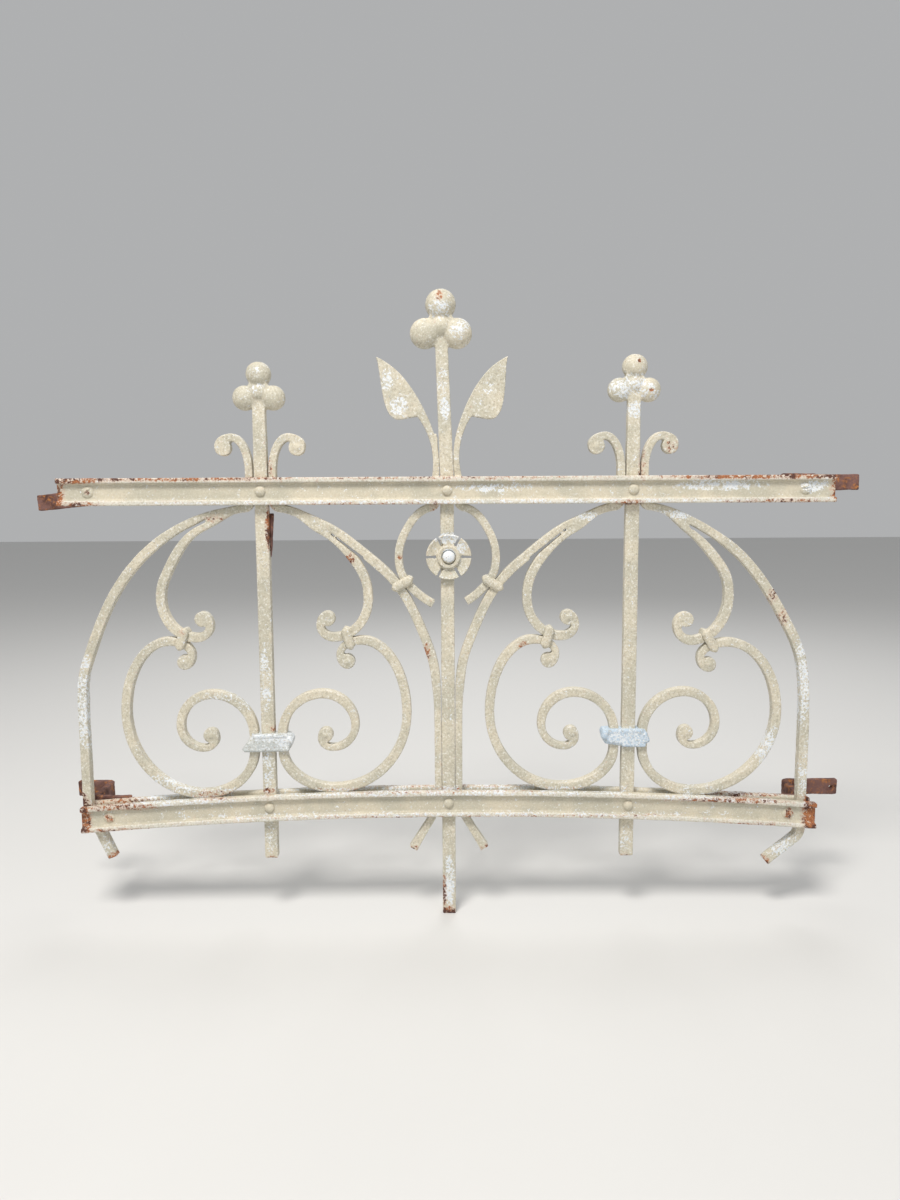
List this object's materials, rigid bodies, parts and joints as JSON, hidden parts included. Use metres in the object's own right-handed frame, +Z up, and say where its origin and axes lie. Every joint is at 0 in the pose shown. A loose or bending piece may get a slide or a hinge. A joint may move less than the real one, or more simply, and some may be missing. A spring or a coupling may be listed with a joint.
{
  "type": "window grille",
  "caption": "Flat wrought iron grille: arches, scrolls and a rosette clamped between riveted rails, with trefoil finials, leaves and bent wall tangs.",
  "frame": {"origin": "on the flat back of the top right wall tang, where it meets the masonry, midway between its bend and its end", "axes": "+X across to the right seen from the front, +Y into the wall, +Z up"},
  "size_m": [1.0372, 0.099, 0.7492],
  "materials": {
    "cream_paint": "worn cream paint, speckled, with rust at the edges",
    "pale_paint": "older bluish white paint",
    "rusty_iron": "bare rusted wrought iron"
  },
  "bodies": {
    "root": {"bottom_left_tang": "rusty_iron", "bottom_rail_back": "cream_paint", "bottom_rail_front": "cream_paint", "bottom_right_tang": "rusty_iron", "bottom_rivets": "cream_paint", "bottom_screws": "cream_paint", "centre_bar": "cream_paint", "left_bar": "cream_paint", "left_bar_wedge": "rusty_iron", "left_hoop": "cream_paint", "left_hoop_collar": "cream_paint", "left_inner_arch": "cream_paint", "left_inner_collar": "cream_paint", "left_inner_scroll": "cream_paint", "left_leaf": "cream_paint", "left_outer_arch": "cream_paint", "left_outer_collar": "cream_paint", "left_outer_scroll": "cream_paint", "left_tie": "pale_paint", "right_bar": "cream_paint", "right_hoop": "cream_paint", "right_hoop_collar": "cream_paint", "right_inner_arch": "cream_paint", "right_inner_collar": "cream_paint", "right_inner_scroll": "cream_paint", "right_leaf": "cream_paint", "right_outer_arch": "cream_paint", "right_outer_collar": "cream_paint", "right_outer_scroll": "cream_paint", "right_tie": "pale_paint", "rosette": "cream_paint", "rosette_boss": "cream_paint", "top_left_tang": "rusty_iron", "top_rail_back": "cream_paint", "top_rail_front": "cream_paint", "top_right_tang": "rusty_iron", "top_rivets": "cream_paint", "top_screws": "cream_paint"}
  },
  "joints": []
}
